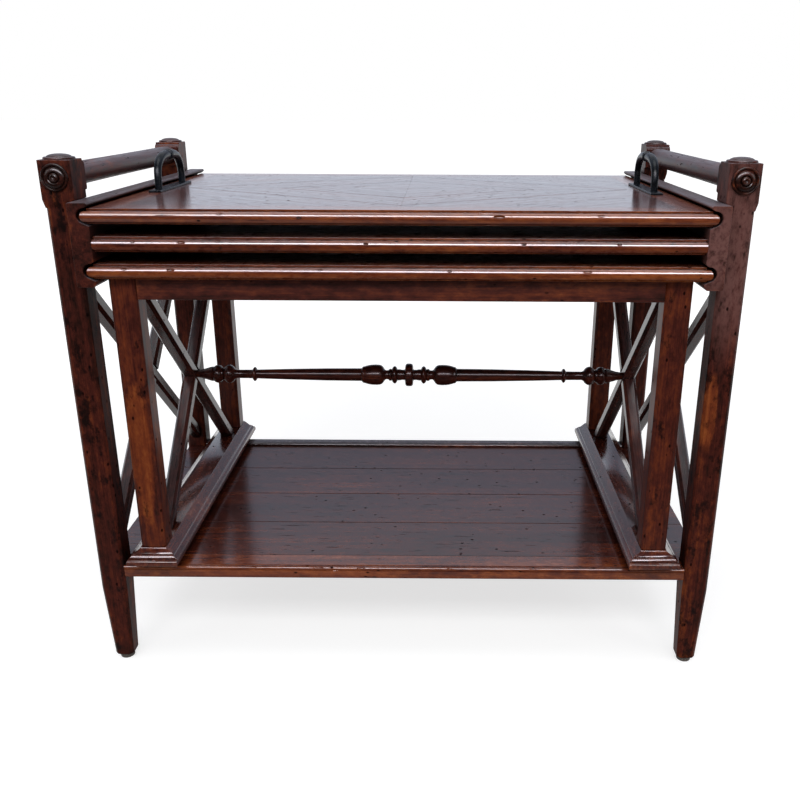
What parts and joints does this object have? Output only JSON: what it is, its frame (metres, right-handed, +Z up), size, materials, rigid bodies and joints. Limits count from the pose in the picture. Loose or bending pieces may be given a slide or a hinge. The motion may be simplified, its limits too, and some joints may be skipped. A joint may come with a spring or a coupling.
{
  "type": "nesting side table",
  "caption": "Wooden side table: a handled tray top slides out of grooved side rails, above an inner table with crossed braces and a turned stretcher that slides out over the shelf.",
  "frame": {"origin": "on the floor under the middle of the table", "axes": "+X to the right of someone facing the front, +Y away from the front, +Z up"},
  "size_m": [0.857, 0.522, 0.7105],
  "materials": {
    "stand_wood": "dark waxed, worn edges",
    "tray_panel_wood": "dark waxed, glossy",
    "inner_wood": "dark waxed, worn edges",
    "shelf_wood": "dark waxed, glossy",
    "iron": "blackened, waxed",
    "glide": "matte"
  },
  "bodies": {
    "stand": {"post_front_left": "stand_wood", "post_front_right": "stand_wood", "post_rear_left": "stand_wood", "post_rear_right": "stand_wood", "post_caps": "stand_wood", "post_rosettes": "stand_wood", "foot_glides": "glide", "hand_rail_left": "stand_wood", "grooved_rail_left": "stand_wood", "outer_brace_left_rising": "stand_wood", "outer_brace_left_falling": "stand_wood", "shelf_bearer_left": "stand_wood", "hand_rail_right": "stand_wood", "grooved_rail_right": "stand_wood", "outer_brace_right_rising": "stand_wood", "outer_brace_right_falling": "stand_wood", "shelf_bearer_right": "stand_wood", "middle_board": "stand_wood", "shelf_front_rail": "stand_wood", "shelf_rear_rail": "stand_wood", "shelf_plank_1": "shelf_wood", "shelf_plank_2": "shelf_wood", "shelf_plank_3": "shelf_wood", "shelf_plank_4": "shelf_wood"},
    "tray": {"tray_border_front": "stand_wood", "tray_border_rear": "stand_wood", "tray_border_left": "stand_wood", "tray_border_right": "stand_wood", "tray_panel_front_left": "tray_panel_wood", "tray_panel_front_right": "tray_panel_wood", "tray_panel_rear_left": "tray_panel_wood", "tray_panel_rear_right": "tray_panel_wood", "handle_plate_left": "iron", "handle_plate_right": "iron", "handle_left": "iron", "handle_right": "iron"},
    "inner_table": {"inner_top": "inner_wood", "inner_apron_front": "inner_wood", "inner_apron_rear": "inner_wood", "inner_apron_left": "inner_wood", "inner_apron_right": "inner_wood", "inner_leg_front_left": "inner_wood", "inner_leg_front_right": "inner_wood", "inner_leg_rear_left": "inner_wood", "inner_leg_rear_right": "inner_wood", "inner_brace_left_rising": "inner_wood", "inner_brace_left_falling": "inner_wood", "inner_brace_right_rising": "inner_wood", "inner_brace_right_falling": "inner_wood", "turned_stretcher": "inner_wood", "sled_left": "inner_wood", "sled_right": "inner_wood"}
  },
  "joints": [
    {"name": "tray_slide", "type": "slide", "parent": "stand", "child": "tray", "axis": [0, -1, 0], "range_m": [0, 0.53]},
    {"name": "inner_table_slide", "type": "slide", "parent": "stand", "child": "inner_table", "axis": [0, -1, 0], "range_m": [0, 0.53]}
  ]
}
